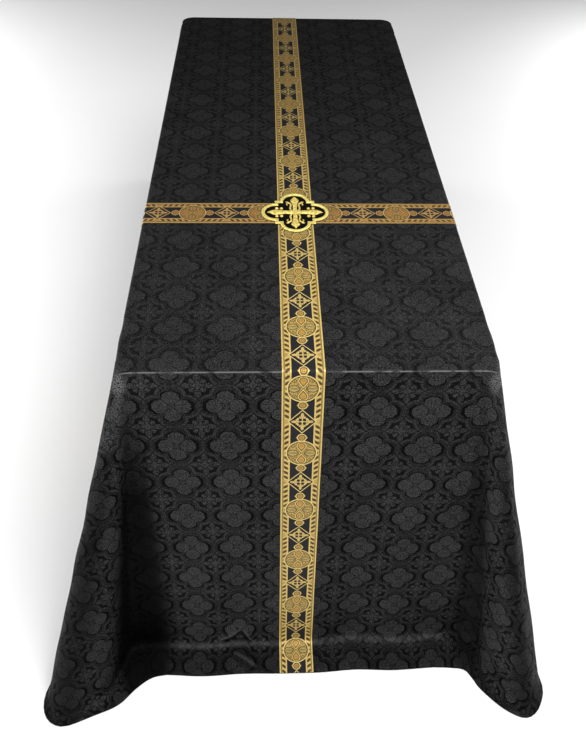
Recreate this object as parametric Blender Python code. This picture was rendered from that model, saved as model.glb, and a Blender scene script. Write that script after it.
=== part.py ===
# Funeral pall falling to the floor all round over a plain long table.
# X across the table, Y along it with the front end at minus Y, Z up, metres.
import math

import bmesh
import bpy
import numpy as np
from mathutils import Matrix

# table
TABLE_HALF_WIDTH = 0.374
TABLE_HALF_LENGTH = 0.908
TABLE_CORNER_RADIUS = 0.035
TABLE_EDGE_CHAMFER = 0.004
TABLE_CORNER_STEPS = 6
TABLE_TOP_THICKNESS = 0.025
LEG_SIZE = 0.050
LEG_INSET = 0.075
RAIL_HEIGHT = 0.080
RAIL_THICKNESS = 0.022
GAP = 0.0003

# cloth
CLOTH_TOP = 0.842
CLOTH_THICKNESS = 0.002
CLOTH_HALF_WIDTH = 0.381
CLOTH_HALF_LENGTH = 0.915
CLOTH_CORNER_RADIUS = 0.042
EDGE_BEND = 0.008
FLOOR_BEND = 0.016
# most of the lying cloth that the bend at the floor may take
FLOOR_BEND_SHARE = 0.6
# fall over which the thickness turns from the edge's way to the fold's
FOLD_START = 0.16
# way of the thickness half round the top edge: outward and up
EDGE_OUT = 0.75
EDGE_UP = 0.60
COLUMNS_PER_ROW = 2
HANG_STEPS = 3
# rows of a corner table that leave from the round of the table corner
ROUND_ROWS = 10
# how far the later rows move on along the side, each
SIDE_ROW_STEP = 0.016

# woven bands and the sewn emblem
BAND_WIDTH = 0.085
BAND_THICKNESS = 0.001
BAND_END_SHARE = 0.97
# where the bands cross: the pall lies a little off the table's middle
CROSSING_X = -0.0115
CROSSING_Y = -0.367
EMBLEM_LOBE_RADIUS = 0.0374
EMBLEM_LOBE_CENTRE = 0.0456
EMBLEM_SQUARE_HALF = 0.0500
EMBLEM_GROUND_THICKNESS = 0.0010
EMBLEM_RAISE = 0.0016
RIM_WIDTH = 0.0085
OUTLINE_STEPS = 144

# Corner folds, out from the corner of the cloth's top outline: where each fall
# line meets the floor and where its hem lies, across the table and along it.
# foot_across, foot_along, hem_across, hem_along
SIDE_FOLD = [
    (-0.055, -0.015, 0.020, -0.022),
    (-0.035, -0.090, 0.035, -0.078),
    (0.120, -0.110, 0.150, -0.114),
    (0.205, -0.148, 0.217, -0.151),
    (0.208, -0.212, 0.222, -0.217),
    (0.090, -0.285, 0.120, -0.287),
    (-0.030, -0.325, 0.002, -0.330),
    (0.010, -0.385, 0.034, -0.388),
    (0.105, -0.470, 0.118, -0.470),
]
FRONT_LEFT = [
    (-0.042, 0.150, -0.042, 0.238),
    (0.012, 0.151, -0.012, 0.243),
    (0.056, 0.162, 0.011, 0.256),
    (0.073, 0.210, 0.036, 0.277),
    (0.097, 0.275, 0.070, 0.311),
    (0.142, 0.312, 0.125, 0.334),
    (0.204, 0.332, 0.198, 0.357),
    (0.238, 0.305, 0.2430, 0.325),
    (0.232, 0.235, 0.2420, 0.250),
    (0.128, 0.092, 0.160, 0.093),
] + SIDE_FOLD
FRONT_RIGHT = [
    (-0.042, 0.138, -0.042, 0.232),
    (0.006, 0.138, -0.002, 0.234),
    (0.048, 0.144, 0.034, 0.240),
    (0.079, 0.180, 0.051, 0.262),
    (0.088, 0.235, 0.067, 0.290),
    (0.128, 0.305, 0.114, 0.338),
    (0.172, 0.332, 0.166, 0.361),
    (0.204, 0.300, 0.208, 0.330),
    (0.216, 0.240, 0.222, 0.258),
    (0.128, 0.095, 0.155, 0.093),
] + SIDE_FOLD
BACK = [
    (-0.042, 0.100, -0.042, 0.138),
    (0.008, 0.099, 0.000, 0.139),
    (0.045, 0.112, 0.030, 0.158),
    (0.060, 0.170, 0.040, 0.205),
    (0.085, 0.250, 0.072, 0.272),
    (0.135, 0.298, 0.130, 0.318),
    (0.190, 0.292, 0.194, 0.312),
    (0.232, 0.245, 0.243, 0.258),
    (0.222, 0.170, 0.242, 0.178),
    (0.115, 0.060, 0.145, 0.062),
] + SIDE_FOLD

# Straight runs: place along the edge, the same at the foot, how far the foot
# stands out from the edge, how far the hem does.
# top_at, foot_at, foot_out, hem_out
HALF_BAND = BAND_WIDTH / 2.0
BAND_LEFT = CROSSING_X - HALF_BAND
BAND_RIGHT = CROSSING_X + HALF_BAND
FRONT_RUN = [
    (-0.339, -0.339, 0.150, 0.238),
    (-0.250, -0.250, 0.155, 0.243),
    (-0.150, -0.150, 0.148, 0.239),
    (BAND_LEFT, BAND_LEFT, 0.151, 0.240),
    (BAND_RIGHT, BAND_RIGHT, 0.150, 0.240),
    (0.140, 0.140, 0.138, 0.234),
    (0.240, 0.240, 0.146, 0.237),
    (0.339, 0.339, 0.138, 0.232),
]
BACK_RUN = [
    (-0.339, -0.339, 0.100, 0.138),
    (-0.200, -0.200, 0.108, 0.144),
    (BAND_LEFT, BAND_LEFT, 0.100, 0.138),
    (BAND_RIGHT, BAND_RIGHT, 0.100, 0.138),
    (0.180, 0.180, 0.092, 0.131),
    (0.339, 0.339, 0.100, 0.138),
]
BAND_NEAR = CROSSING_Y - HALF_BAND
BAND_FAR = CROSSING_Y + HALF_BAND
RIGHT_RUN = [
    (-0.690, -0.437, 0.106, 0.119),
    (-0.560, -0.424, 0.107, 0.120),
    (BAND_NEAR, BAND_NEAR, 0.108, 0.121),
    (BAND_FAR, BAND_FAR, 0.106, 0.119),
    (-0.180, -0.210, 0.080, 0.096),
    (-0.020, -0.080, 0.088, 0.103),
    (0.160, 0.050, 0.122, 0.133),
    (0.340, 0.170, 0.096, 0.110),
    (0.520, 0.310, 0.078, 0.094),
    (0.690, 0.432, 0.104, 0.117),
]
LEFT_RUN = [
    (-0.690, -0.437, 0.106, 0.119),
    (-0.560, -0.424, 0.107, 0.120),
    (BAND_NEAR, BAND_NEAR, 0.107, 0.120),
    (BAND_FAR, BAND_FAR, 0.104, 0.117),
    (-0.200, -0.230, 0.122, 0.134),
    (-0.010, -0.090, 0.098, 0.112),
    (0.200, 0.070, 0.078, 0.094),
    (0.400, 0.210, 0.112, 0.124),
    (0.540, 0.330, 0.092, 0.106),
    (0.690, 0.432, 0.104, 0.117),
]

# One quarter of the emblem's cross, from the middle out to the arm's tip.
# along the arm, across it
ARM_OUTLINE = [
    (0.0125, 0.0125),
    (0.0190, 0.0068),
    (0.0360, 0.0058),
    (0.0440, 0.0075),
    (0.0385, 0.0135),
    (0.0410, 0.0195),
    (0.0480, 0.0190),
    (0.0525, 0.0125),
    (0.0600, 0.0080),
]
ARM_TIP = 0.0695


def smooth_rows(rows, steps):
    """Points on a smooth curve through the rows, steps to a row."""
    rows = np.array(rows, float)
    ends = np.vstack([2 * rows[0] - rows[1], rows, 2 * rows[-1] - rows[-2]])
    points = []
    for k in range(1, len(ends) - 2):
        before, here, there, after = ends[k - 1:k + 3]
        for step in range(steps):
            u = step / steps
            points.append(0.5 * (
                2 * here
                + (there - before) * u
                + (2 * before - 5 * here + 4 * there - after) * u * u
                + (3 * here - before - 3 * there + after) * u ** 3))
    points.append(rows[-1])
    return np.array(points)


def corner_columns(rows, side_x, side_y):
    """Fall lines of one corner: top point, outward normal, foot and hem."""
    arc = CLOTH_CORNER_RADIUS
    points = smooth_rows(rows, COLUMNS_PER_ROW)
    columns = []
    for k, (foot_a, foot_b, hem_a, hem_b) in enumerate(points):
        row = k / COLUMNS_PER_ROW
        turn = math.radians(90.0) * min(1.0, row / ROUND_ROWS)
        beyond = SIDE_ROW_STEP * max(0.0, row - ROUND_ROWS)
        top_a = -arc + arc * math.sin(turn)
        top_b = -arc + arc * math.cos(turn) - beyond
        spots = []
        for a, b in ((top_a, top_b), (foot_a, foot_b), (hem_a, hem_b)):
            spots.append((side_x * (CLOTH_HALF_WIDTH + a),
                          side_y * (CLOTH_HALF_LENGTH + b)))
        normal = (side_x * math.sin(turn), side_y * math.cos(turn))
        columns.append((spots[0], normal, spots[1], spots[2]))
    return columns


def run_columns(rows, end):
    """Fall lines of one straight run on the front, right, back or left."""
    columns = []
    for top_at, foot_at, foot_out, hem_out in rows:
        if end in ("front", "back"):
            sign = -1.0 if end == "front" else 1.0
            edge = CLOTH_HALF_LENGTH
            spots = [(top_at, sign * edge),
                     (foot_at, sign * (edge + foot_out)),
                     (foot_at, sign * (edge + hem_out))]
            normal = (0.0, sign)
        else:
            sign = -1.0 if end == "left" else 1.0
            edge = CLOTH_HALF_WIDTH
            spots = [(sign * edge, top_at),
                     (sign * (edge + foot_out), foot_at),
                     (sign * (edge + hem_out), foot_at)]
            normal = (sign, 0.0)
        columns.append((spots[0], normal, spots[1], spots[2]))
    return columns


def ordered_columns():
    """All fall lines once round the cloth, and where each run starts."""
    front_left = corner_columns(FRONT_LEFT, -1, -1)[::-1]
    front_right = corner_columns(FRONT_RIGHT, 1, -1)
    back_right = corner_columns(BACK, 1, 1)[::-1]
    back_left = corner_columns(BACK, -1, 1)
    parts = [
        ("front", run_columns(FRONT_RUN, "front")[1:-1]),
        ("front_right", front_right),
        ("right", run_columns(RIGHT_RUN, "right")),
        ("back_right", back_right),
        ("back", run_columns(BACK_RUN, "back")[1:-1][::-1]),
        ("back_left", back_left),
        ("left", run_columns(LEFT_RUN, "left")[::-1]),
        ("front_left", front_left),
    ]
    columns = []
    starts = {}
    for name, part in parts:
        starts[name] = len(columns)
        columns.extend(part)
    return columns, starts


def fall_path(column):
    """One fall line of the outer face, from the flat top to the hem."""
    top, normal, foot, hem = column
    floor = CLOTH_THICKNESS
    edge = np.array([top[0], top[1], CLOTH_TOP])
    foot = np.array([foot[0], foot[1], floor])
    hem = np.array([hem[0], hem[1], floor])
    down = (foot - edge) / np.linalg.norm(foot - edge)
    start = edge - EDGE_BEND * np.array([normal[0], normal[1], 0.0])
    below = edge + EDGE_BEND * down
    lying = hem - foot
    reach = min(FLOOR_BEND, FLOOR_BEND_SHARE * np.linalg.norm(lying))
    lift = foot - FLOOR_BEND * down
    settle = foot + lying * (reach / np.linalg.norm(lying))
    path = [start, 0.25 * start + 0.5 * edge + 0.25 * below, below]
    for step in range(1, HANG_STEPS + 1):
        path.append(below + (lift - below) * (step / HANG_STEPS))
    path.append(0.25 * lift + 0.5 * foot + 0.25 * settle)
    path.append(settle)
    path.append(hem)
    return path


def surface_normals(grid):
    """Outward unit normals of the closed ring of fall lines."""
    along = np.roll(grid, -1, axis=0) - np.roll(grid, 1, axis=0)
    down = np.empty_like(grid)
    down[:, 1:-1] = grid[:, 2:] - grid[:, :-2]
    down[:, 0] = grid[:, 1] - grid[:, 0]
    down[:, -1] = grid[:, -1] - grid[:, -2]
    normals = np.cross(down, along)
    normals /= np.linalg.norm(normals, axis=2, keepdims=True)
    return normals


def drape():
    """Outer face points and thickness directions of the hanging cloth."""
    columns, starts = ordered_columns()
    grid = np.array([fall_path(column) for column in columns])
    normals = surface_normals(grid)
    plain = np.array([[c[1][0], c[1][1], 0.0] for c in columns])[:, None, :]
    fallen = CLOTH_TOP - grid[:, :, 2:3]
    share = np.clip(fallen / FOLD_START, 0.0, 1.0)
    share = share * share * (3.0 - 2.0 * share)
    normals = normals * share + plain * (1.0 - share)
    up = np.array([0.0, 0.0, 1.0])
    normals[:, 1] = plain[:, 0] * EDGE_OUT + up * EDGE_UP
    normals[:, 0] = up
    normals[:, -2:] = up
    normals /= np.linalg.norm(normals, axis=2, keepdims=True)
    return grid, normals, starts


def new_object(name, material, bm):
    """Link the mesh as an object with its own material."""
    bmesh.ops.recalc_face_normals(bm, faces=bm.faces)
    mesh = bpy.data.meshes.new(name)
    bm.to_mesh(mesh)
    bm.free()
    obj = bpy.data.objects.new(name, mesh)
    bpy.context.scene.collection.objects.link(obj)
    mesh.materials.append(material)
    return obj


def new_material(name, colour, roughness):
    material = bpy.data.materials.new(name)
    material.use_nodes = True
    shader = material.node_tree.nodes["Principled BSDF"]
    shader.inputs["Base Color"].default_value = (*colour, 1.0)
    shader.inputs["Roughness"].default_value = roughness
    return material


def ring_faces(bm, first, second):
    """Quads between two closed rings of vertices."""
    count = len(first)
    for k in range(count):
        n = (k + 1) % count
        bm.faces.new((first[k], first[n], second[n], second[k]))


def sheet_faces(bm, upper, lower):
    """Triangles between two rings of the cloth, every one split alike."""
    count = len(upper)
    for k in range(count):
        n = (k + 1) % count
        bm.faces.new((upper[k], lower[n], upper[n]))
        bm.faces.new((upper[k], lower[k], lower[n]))


def build_pall(grid, normals, material):
    bm = bmesh.new()
    inner_grid = grid - CLOTH_THICKNESS * normals
    outer = []
    inner = []
    for j in range(grid.shape[1]):
        outer.append([bm.verts.new(p) for p in grid[:, j]])
        inner.append([bm.verts.new(p) for p in inner_grid[:, j]])
    for j in range(grid.shape[1] - 1):
        sheet_faces(bm, outer[j], outer[j + 1])
        sheet_faces(bm, inner[j], inner[j + 1])
    ring_faces(bm, outer[-1], inner[-1])
    bm.faces.new(outer[0])
    bm.faces.new(inner[0][::-1])
    return new_object("pall", material, bm)


def build_strip(name, material, left, right, left_n, right_n):
    """A thin band on the cloth between two chains, split as the cloth is."""
    bm = bmesh.new()
    low = GAP
    high = GAP + BAND_THICKNESS
    rows = []
    for k in range(len(left)):
        rows.append([
            bm.verts.new(left[k] + low * left_n[k]),
            bm.verts.new(right[k] + low * right_n[k]),
            bm.verts.new(right[k] + high * right_n[k]),
            bm.verts.new(left[k] + high * left_n[k]),
        ])
    for k in range(len(rows) - 1):
        here, there = rows[k], rows[k + 1]
        for a, b in ((0, 1), (3, 2)):
            bm.faces.new((here[a], here[b], there[a]))
            bm.faces.new((here[b], there[b], there[a]))
        bm.faces.new((here[1], here[2], there[2], there[1]))
        bm.faces.new((here[3], here[0], there[0], there[3]))
    bm.faces.new(rows[0])
    bm.faces.new(rows[-1][::-1])
    return new_object(name, material, bm)


def fall_of(grid, normals, column):
    """A fall line's points and directions, its end drawn back from the hem."""
    points = [p.copy() for p in grid[column]]
    points[-1] = points[-2] + BAND_END_SHARE * (points[-1] - points[-2])
    return points, [n.copy() for n in normals[column]]


def build_bands(grid, normals, starts, material):
    # places of the band's two edges in the straight runs
    front = starts["front"] + 2
    back = starts["back"] + 1
    right = starts["right"] + 2
    left = starts["left"] + len(LEFT_RUN) - 3
    front_l, front_ln = fall_of(grid, normals, front)
    front_r, front_rn = fall_of(grid, normals, front + 1)
    back_r, back_rn = fall_of(grid, normals, back)
    back_l, back_ln = fall_of(grid, normals, back + 1)
    build_strip("band_long", material,
                front_l[::-1] + back_l, front_r[::-1] + back_r,
                front_ln[::-1] + back_ln, front_rn[::-1] + back_rn)
    up = np.array([0.0, 0.0, 1.0])
    for name, first, inner_x, ends in (
            ("band_cross_right", right, BAND_RIGHT + GAP,
             (BAND_NEAR, BAND_FAR)),
            ("band_cross_left", left - 1, BAND_LEFT - GAP,
             (BAND_FAR, BAND_NEAR))):
        first_p, first_n = fall_of(grid, normals, first)
        second_p, second_n = fall_of(grid, normals, first + 1)
        first_end = np.array([inner_x, ends[0], CLOTH_TOP])
        second_end = np.array([inner_x, ends[1], CLOTH_TOP])
        build_strip(name, material,
                    first_p[::-1] + [first_end], second_p[::-1] + [second_end],
                    first_n[::-1] + [up], second_n[::-1] + [up])


def quatrefoil(inset):
    """Barbed quatrefoil: four round lobes and a square between them."""
    points = []
    lobe = EMBLEM_LOBE_RADIUS - inset
    half = EMBLEM_SQUARE_HALF - inset
    for k in range(OUTLINE_STEPS):
        turn = 2.0 * math.pi * k / OUTLINE_STEPS
        dx, dy = math.cos(turn), math.sin(turn)
        reach = half / max(abs(dx), abs(dy))
        for quarter in range(4):
            angle = quarter * math.pi / 2.0
            cx = EMBLEM_LOBE_CENTRE * math.cos(angle)
            cy = EMBLEM_LOBE_CENTRE * math.sin(angle)
            toward = cx * dx + cy * dy
            inside = lobe ** 2 - (cx * cx + cy * cy - toward ** 2)
            if inside > 0.0 and toward > 0.0:
                reach = max(reach, toward + math.sqrt(inside))
        points.append((dx * reach, dy * reach))
    return points


def cross_outline():
    """Cross with flowered arm ends, alike in all four arms."""
    side = smooth_rows(ARM_OUTLINE + [(ARM_TIP, 0.0)], 3)[:-1]
    arm = [(a, -b) for a, b in side] + [(ARM_TIP, 0.0)]
    arm += [(a, b) for a, b in side[::-1]][:-1]
    points = []
    for quarter in range(4):
        c = round(math.cos(quarter * math.pi / 2.0))
        s = round(math.sin(quarter * math.pi / 2.0))
        points += [(a * c - b * s, a * s + b * c) for a, b in arm]
    return points


def build_plate(name, material, outline, base, height, hole=None):
    """Upright slab on an outline round the crossing, with a hole if given."""
    bm = bmesh.new()
    rings = []
    for contour in [outline] + ([hole] if hole else []):
        for z in (base, base + height):
            rings.append([bm.verts.new((x + CROSSING_X, y + CROSSING_Y, z))
                          for x, y in contour])
    ring_faces(bm, rings[0], rings[1])
    if hole:
        ring_faces(bm, rings[3], rings[2])
        ring_faces(bm, rings[1], rings[3])
        ring_faces(bm, rings[2], rings[0])
    else:
        bm.faces.new(rings[0][::-1])
        bm.faces.new(rings[1])
    return new_object(name, material, bm)


def build_emblem(ground_material, gold_material):
    base = CLOTH_TOP + GAP + BAND_THICKNESS + GAP
    build_plate("emblem_ground", ground_material, quatrefoil(0.0),
                base, EMBLEM_GROUND_THICKNESS)
    base += EMBLEM_GROUND_THICKNESS + GAP
    build_plate("emblem_rim", gold_material, quatrefoil(0.0),
                base, EMBLEM_RAISE, hole=quatrefoil(RIM_WIDTH))
    build_plate("emblem_cross", gold_material, cross_outline(),
                base, EMBLEM_RAISE)


def build_box(name, material, low, high):
    bm = bmesh.new()
    corners = []
    for z in (low[2], high[2]):
        corners.append([bm.verts.new((x, y, z)) for x, y in (
            (low[0], low[1]), (high[0], low[1]),
            (high[0], high[1]), (low[0], high[1]))])
    ring_faces(bm, corners[0], corners[1])
    bm.faces.new(corners[0][::-1])
    bm.faces.new(corners[1])
    return new_object(name, material, bm)


def table_outline(inset):
    """Rounded rectangle of the table top, drawn in by the inset."""
    points = []
    radius = TABLE_CORNER_RADIUS - inset
    for quarter, (sx, sy) in enumerate(((1, 1), (-1, 1), (-1, -1), (1, -1))):
        cx = sx * (TABLE_HALF_WIDTH - TABLE_CORNER_RADIUS)
        cy = sy * (TABLE_HALF_LENGTH - TABLE_CORNER_RADIUS)
        for step in range(TABLE_CORNER_STEPS + 1):
            turn = math.pi / 2.0 * (quarter + step / TABLE_CORNER_STEPS)
            points.append((cx + radius * math.cos(turn),
                           cy + radius * math.sin(turn)))
    return points


def build_table(material):
    top = CLOTH_TOP - CLOTH_THICKNESS - GAP
    under = top - TABLE_TOP_THICKNESS
    bm = bmesh.new()
    rings = []
    for inset, z in ((0.0, under), (0.0, top - TABLE_EDGE_CHAMFER),
                     (TABLE_EDGE_CHAMFER, top)):
        rings.append([bm.verts.new((x, y, z))
                      for x, y in table_outline(inset)])
    ring_faces(bm, rings[0], rings[1])
    ring_faces(bm, rings[1], rings[2])
    bm.faces.new(rings[0][::-1])
    bm.faces.new(rings[2])
    new_object("table_top", material, bm)
    leg_x = TABLE_HALF_WIDTH - LEG_INSET
    leg_y = TABLE_HALF_LENGTH - LEG_INSET
    leg_top = under - GAP
    for side, sx in (("left", -1), ("right", 1)):
        for end, sy in (("front", -1), ("back", 1)):
            xs = sorted((sx * leg_x, sx * (leg_x - LEG_SIZE)))
            ys = sorted((sy * leg_y, sy * (leg_y - LEG_SIZE)))
            build_box("leg_%s_%s" % (end, side), material,
                      (xs[0], ys[0], 0.0), (xs[1], ys[1], leg_top))
    rail_low = leg_top - RAIL_HEIGHT
    inner_x = leg_x - LEG_SIZE - GAP
    inner_y = leg_y - LEG_SIZE - GAP
    middle = LEG_SIZE / 2.0
    for side, sx in (("left", -1), ("right", 1)):
        line = sx * (leg_x - middle)
        build_box("rail_%s" % side, material,
                  (line - RAIL_THICKNESS / 2.0, -inner_y, rail_low),
                  (line + RAIL_THICKNESS / 2.0, inner_y, leg_top))
    for end, sy in (("front", -1), ("back", 1)):
        line = sy * (leg_y - middle)
        build_box("rail_%s" % end, material,
                  (-inner_x, line - RAIL_THICKNESS / 2.0, rail_low),
                  (inner_x, line + RAIL_THICKNESS / 2.0, leg_top))


for old in list(bpy.data.objects):
    bpy.data.objects.remove(old, do_unlink=True)

cloth = new_material("black_brocade", (0.012, 0.012, 0.013), 0.55)
galloon = new_material("gold_galloon", (0.50, 0.34, 0.10), 0.45)
ground = new_material("black_velvet", (0.010, 0.010, 0.010), 0.80)
gold = new_material("gold_embroidery", (0.80, 0.62, 0.16), 0.40)
wood = new_material("plain_wood", (0.42, 0.28, 0.16), 0.50)

cloth_grid, cloth_normals, run_starts = drape()
build_pall(cloth_grid, cloth_normals, cloth)
build_bands(cloth_grid, cloth_normals, run_starts, galloon)
build_emblem(ground, gold)
build_table(wood)

# the middle of the whole spread of cloth stands over the origin
low_corner = cloth_grid.min(axis=(0, 1))
high_corner = cloth_grid.max(axis=(0, 1))
shift_x = -(low_corner[0] + high_corner[0]) / 2.0
shift_y = -(low_corner[1] + high_corner[1]) / 2.0
for part in bpy.data.objects:
    part.data.transform(Matrix.Translation((shift_x, shift_y, 0.0)))
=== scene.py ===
import math

import bpy
import numpy as np
from mathutils import Matrix, Vector


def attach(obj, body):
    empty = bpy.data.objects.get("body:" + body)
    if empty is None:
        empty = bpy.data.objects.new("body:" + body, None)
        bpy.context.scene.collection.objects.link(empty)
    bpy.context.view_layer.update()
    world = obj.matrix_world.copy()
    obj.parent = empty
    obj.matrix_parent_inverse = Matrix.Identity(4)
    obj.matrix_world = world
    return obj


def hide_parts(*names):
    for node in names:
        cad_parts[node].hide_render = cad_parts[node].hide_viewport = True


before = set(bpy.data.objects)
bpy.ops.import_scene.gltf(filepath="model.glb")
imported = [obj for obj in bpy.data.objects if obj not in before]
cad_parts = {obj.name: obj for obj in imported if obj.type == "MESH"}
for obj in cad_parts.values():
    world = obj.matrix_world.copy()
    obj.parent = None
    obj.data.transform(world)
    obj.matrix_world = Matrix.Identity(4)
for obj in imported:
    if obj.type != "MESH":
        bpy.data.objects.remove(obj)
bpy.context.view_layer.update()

# The cloth has the CAD pall's outline, folds and sizes; only its far corner folds
# are a few millimetres slimmer.
SHIFT_Y = 0.019875
CLOTH_TOP = 0.842
SHEET = 0.0016
FLOOR_LIFT = 0.002
HALF_WIDTH = 0.381
HALF_LENGTH = 0.915
CORNER_RADIUS = 0.042
EDGE_BEND = 0.008
FLOOR_BEND = 0.020
# The bend at the floor takes at most this share of the cloth that lies there.
BEND_SHARE = 0.6
ROUND_ROWS = 10
SIDE_ROW_STEP = 0.016
CORNER_STEPS = 4
RUN_SPACING = 0.016
FRONT_SPACING = 0.007
EDGE_ROWS = 5
HANG_ROWS = 40
HANG_POWER = 1.5
BEND_ROWS = 6
LYING_ROWS = 8
TOP_RINGS = 6
# The flat top's innermost ring almost reaches its middle line.
INNERMOST = 0.999
# How many rows of each corner table lie where the photo shows the cloth.
SHOWN_ROWS = 8
BAND_WIDTH = 0.085
HALF_BAND = BAND_WIDTH / 2.0
BAND_GAP = 0.0003
BAND_THICKNESS = 0.0010
# A band ends this share of the last row before the hem.
HEM_INSET = 0.03
CROSSING_X = -0.0115
CROSSING_Y = -0.367
BAND_LEFT = CROSSING_X - HALF_BAND
BAND_RIGHT = CROSSING_X + HALF_BAND
BAND_NEAR = CROSSING_Y - HALF_BAND
BAND_FAR = CROSSING_Y + HALF_BAND

# foot_across, foot_along, hem_across, hem_along
SIDE_FOLD = [
    (-0.055, -0.015, 0.020, -0.022),
    (-0.035, -0.090, 0.035, -0.078),
    (0.120, -0.110, 0.150, -0.114),
    (0.205, -0.148, 0.217, -0.151),
    (0.208, -0.212, 0.222, -0.217),
    (0.090, -0.285, 0.120, -0.287),
    (-0.030, -0.325, 0.002, -0.330),
    (0.010, -0.385, 0.034, -0.388),
    (0.105, -0.470, 0.118, -0.470),
]
FRONT_LEFT = [
    (-0.042, 0.150, -0.042, 0.238),
    (0.012, 0.151, -0.012, 0.243),
    (0.056, 0.162, 0.011, 0.256),
    (0.073, 0.210, 0.036, 0.277),
    (0.097, 0.275, 0.070, 0.311),
    (0.142, 0.312, 0.125, 0.334),
    (0.204, 0.332, 0.198, 0.357),
    (0.238, 0.305, 0.243, 0.325),
    (0.232, 0.235, 0.242, 0.250),
    (0.128, 0.092, 0.160, 0.093),
] + SIDE_FOLD
FRONT_RIGHT = [
    (-0.042, 0.138, -0.042, 0.232),
    (0.006, 0.138, -0.002, 0.234),
    (0.048, 0.144, 0.034, 0.240),
    (0.079, 0.180, 0.051, 0.262),
    (0.088, 0.235, 0.067, 0.290),
    (0.128, 0.305, 0.114, 0.338),
    (0.172, 0.332, 0.166, 0.361),
    (0.204, 0.300, 0.208, 0.330),
    (0.216, 0.240, 0.222, 0.258),
    (0.128, 0.095, 0.155, 0.093),
] + SIDE_FOLD
BACK = [
    (-0.042, 0.100, -0.042, 0.138),
    (0.008, 0.099, 0.000, 0.139),
    (0.045, 0.112, 0.030, 0.158),
    (0.060, 0.170, 0.040, 0.205),
    (0.085, 0.250, 0.072, 0.272),
    (0.135, 0.298, 0.130, 0.318),
    (0.190, 0.292, 0.194, 0.312),
    (0.225, 0.245, 0.235, 0.258),
    (0.214, 0.170, 0.232, 0.178),
    (0.115, 0.060, 0.145, 0.062),
] + SIDE_FOLD
# top_at, foot_at, foot_out, hem_out
FRONT_RUN = [
    (-0.339, -0.339, 0.150, 0.238),
    (-0.250, -0.250, 0.155, 0.243),
    (-0.150, -0.150, 0.148, 0.239),
    (BAND_LEFT, BAND_LEFT, 0.151, 0.240),
    (BAND_RIGHT, BAND_RIGHT, 0.150, 0.240),
    (0.140, 0.140, 0.138, 0.234),
    (0.240, 0.240, 0.146, 0.237),
    (0.339, 0.339, 0.138, 0.232),
]
BACK_RUN = [
    (-0.339, -0.339, 0.100, 0.138),
    (-0.200, -0.200, 0.108, 0.144),
    (BAND_LEFT, BAND_LEFT, 0.100, 0.138),
    (BAND_RIGHT, BAND_RIGHT, 0.100, 0.138),
    (0.180, 0.180, 0.092, 0.131),
    (0.339, 0.339, 0.100, 0.138),
]
SIDE_END = (0.745, 0.445, 0.105, 0.118)
SIDE_NEAR = [
    (-0.745, -0.445, 0.105, 0.118),
    (-0.690, -0.437, 0.106, 0.119),
    (-0.560, -0.424, 0.107, 0.120),
]
SIDE_FAR = [(0.690, 0.432, 0.104, 0.117), SIDE_END]
RIGHT_RUN = SIDE_NEAR + [
    (BAND_NEAR, BAND_NEAR, 0.108, 0.121),
    (BAND_FAR, BAND_FAR, 0.106, 0.119),
    (-0.180, -0.210, 0.080, 0.096),
    (-0.020, -0.080, 0.088, 0.103),
    (0.160, 0.050, 0.122, 0.133),
    (0.340, 0.170, 0.096, 0.110),
    (0.520, 0.310, 0.078, 0.094),
] + SIDE_FAR
LEFT_RUN = SIDE_NEAR + [
    (BAND_NEAR, BAND_NEAR, 0.107, 0.120),
    (BAND_FAR, BAND_FAR, 0.104, 0.117),
    (-0.200, -0.230, 0.122, 0.134),
    (-0.010, -0.090, 0.098, 0.112),
    (0.200, 0.070, 0.078, 0.094),
    (0.400, 0.210, 0.112, 0.124),
    (0.540, 0.330, 0.092, 0.106),
] + SIDE_FAR

# Small creases in the flat cloth, turned in degrees from across the table.
# across, along, length, width, height, turn
CREASES = [
    (-0.1775, -1.7355, 0.040, 0.0105, 0.0135, 41.0),
    (-0.1285, -1.7450, 0.036, 0.0100, 0.0130, -65.0),
    (-0.1415, -1.8145, 0.036, 0.0105, 0.0110, -34.0),
    (-0.1530, -1.7800, 0.022, 0.0120, -0.0050, 10.0),
    (0.138, -1.300, 0.160, 0.030, -0.0050, 72.0),
    (0.205, -1.430, 0.170, 0.028, 0.0042, 68.0),
    (-0.280, -1.350, 0.200, 0.035, -0.0040, 97.0),
    (-0.200, -1.560, 0.120, 0.026, 0.0040, 84.0),
    (0.100, -1.640, 0.120, 0.022, 0.0040, 108.0),
    (-0.120, -1.250, 0.150, 0.030, 0.0034, 95.0),
    (0.265, -1.620, 0.110, 0.020, -0.0036, 80.0),
]
# Low waves across the hanging cloth and along it, which fade out at the floor.
# height, waves, sway, sway_waves
RIPPLES = [(0.0011, 41.0, 2.3, 9.0), (0.0009, 37.0, 1.7, 11.0)]
RIPPLE_DROP = 0.25
NEAR_FLOOR = 0.03
TINY = 1e-12


def smooth_rows(rows, steps):
    """Points on a smooth curve through the rows, steps to a row."""
    rows = np.array(rows, float)
    ends = np.vstack([2 * rows[0] - rows[1], rows, 2 * rows[-1] - rows[-2]])
    points = []
    for k in range(1, len(ends) - 2):
        before, here, there, after = ends[k - 1:k + 3]
        for step in range(steps):
            u = step / steps
            points.append(0.5 * (
                2 * here + (there - before) * u
                + (2 * before - 5 * here + 4 * there - after) * u * u
                + (3 * here - before - 3 * there + after) * u ** 3))
    points.append(rows[-1])
    return np.array(points)


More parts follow.
